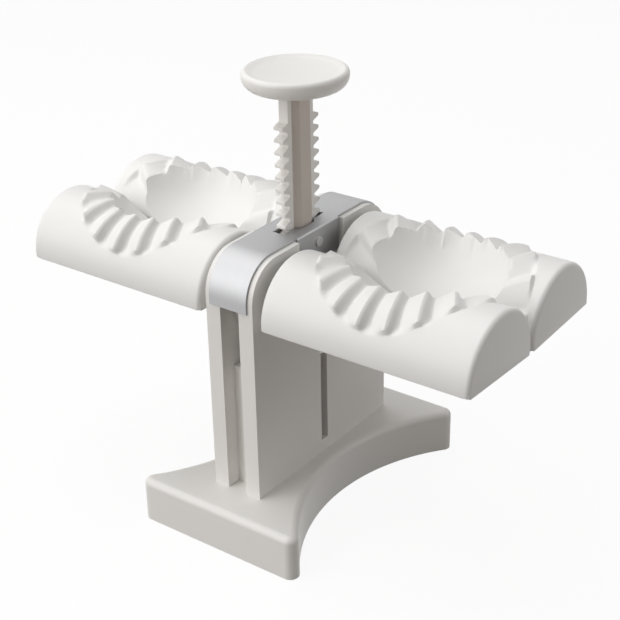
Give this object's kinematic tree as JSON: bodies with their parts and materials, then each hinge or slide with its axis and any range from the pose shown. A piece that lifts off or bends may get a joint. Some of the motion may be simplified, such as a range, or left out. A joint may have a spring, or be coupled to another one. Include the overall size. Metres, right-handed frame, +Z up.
{
  "type": "table-top dumpling press",
  "caption": "Table-top dumpling press: a toothed plunger between uprights turns pleated mould halves that roll together and seal a filled wrapper over bowl hollows.",
  "frame": {"origin": "on the table, under the middle of the foot and of the whole press", "axes": "+Z up along the plunger, +X along the mould rollers to the right, -Y towards the user at the front roller"},
  "size_m": [0.23, 0.1324, 0.2016],
  "materials": {
    "mould_white": "smooth moulded, satin sheen",
    "stand_white": "smooth moulded, satin sheen",
    "plunger_white": "smooth moulded",
    "cap_white": "smooth moulded, satin sheen",
    "gear_white": "moulded, greased",
    "strap_steel": "satin, brushed along the strap",
    "rivet_steel": "set head, bright",
    "screw_steel": "bright plated",
    "pin_steel": "ground",
    "axle_steel": "ground"
  },
  "bodies": {
    "stand": {"foot": "stand_white", "left_upright": "stand_white", "right_upright": "stand_white", "upright_screws": "screw_steel", "foot_screws": "screw_steel", "strap_cover": "strap_steel", "strap_rivets": "rivet_steel"},
    "plunger": {"rack_plunger": "plunger_white", "press_cap": "cap_white", "guide_pin": "pin_steel"},
    "front_roller": {"front_axle": "axle_steel", "front_pinion": "gear_white", "front_left_mould": "mould_white", "front_left_mould_back": "mould_white", "front_right_mould": "mould_white", "front_right_mould_back": "mould_white"},
    "back_roller": {"back_axle": "axle_steel", "back_pinion": "gear_white", "back_left_mould": "mould_white", "back_left_mould_back": "mould_white", "back_right_mould": "mould_white", "back_right_mould_back": "mould_white"}
  },
  "joints": [
    {"name": "press_slide", "type": "slide", "parent": "stand", "child": "plunger", "axis": [0, 0, -1], "range_m": [0, 0.044]},
    {"name": "front_roll", "type": "hinge", "parent": "stand", "child": "front_roller", "pos_m": [0, -0.025, 0.1074], "axis": [-1, 0, 0], "range_deg": [0, 181]},
    {"name": "back_roll", "type": "hinge", "parent": "stand", "child": "back_roller", "pos_m": [0, 0.025, 0.1074], "axis": [1, 0, 0], "range_deg": [0, 181]}
  ],
  "couplings": [
    {"joint": "front_roll", "follows": "press_slide", "rad_per_m": 71.429},
    {"joint": "back_roll", "follows": "press_slide", "rad_per_m": 71.429}
  ]
}
